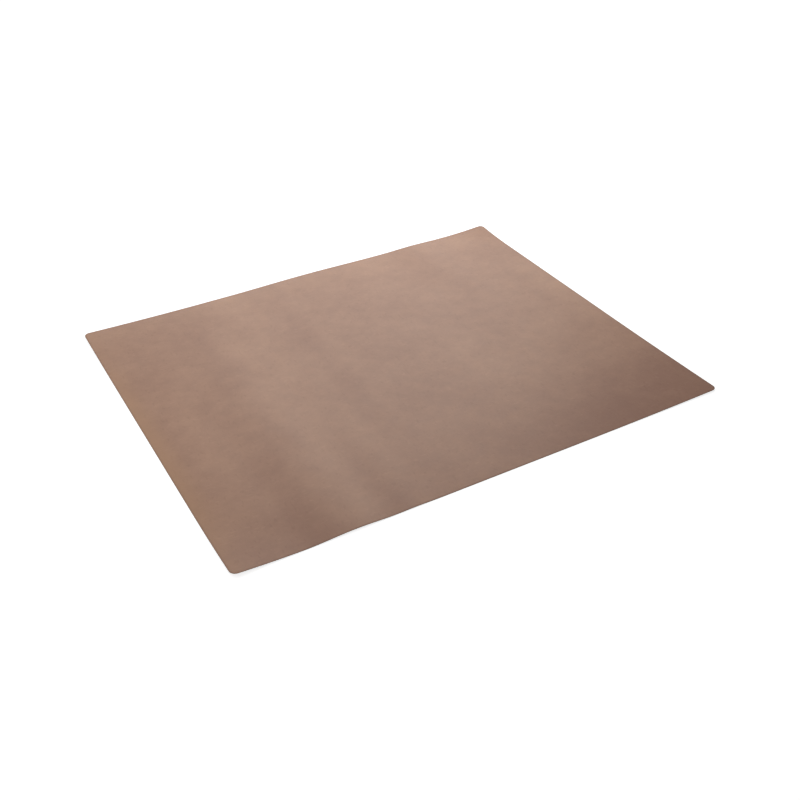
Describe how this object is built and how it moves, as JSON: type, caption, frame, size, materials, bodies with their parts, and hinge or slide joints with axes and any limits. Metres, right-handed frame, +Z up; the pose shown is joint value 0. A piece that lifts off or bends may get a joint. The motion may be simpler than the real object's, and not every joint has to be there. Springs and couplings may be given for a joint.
{
  "type": "oven liner",
  "caption": "Flat non-stick sheet of coated glass cloth with rounded corners, laid on an oven floor or rack to catch spills.",
  "frame": {"origin": "on the surface that the liner lies on, under the middle of the sheet", "axes": "+X along the long sides, +Y from the front long side to the back one, +Z up out of the sheet"},
  "size_m": [0.4, 0.33, 0.003],
  "materials": {
    "lower_coating": "satin reddish brown fluoropolymer coating, faintly woven in texture",
    "glass_cloth": "plain-woven glass cloth stained tan by its coating, seen only at the cut edge",
    "upper_coating": "satin reddish brown fluoropolymer coating, faintly woven in texture"
  },
  "bodies": {
    "root": {"lower_coating": "lower_coating", "glass_cloth_core": "glass_cloth", "upper_coating": "upper_coating"}
  },
  "joints": []
}
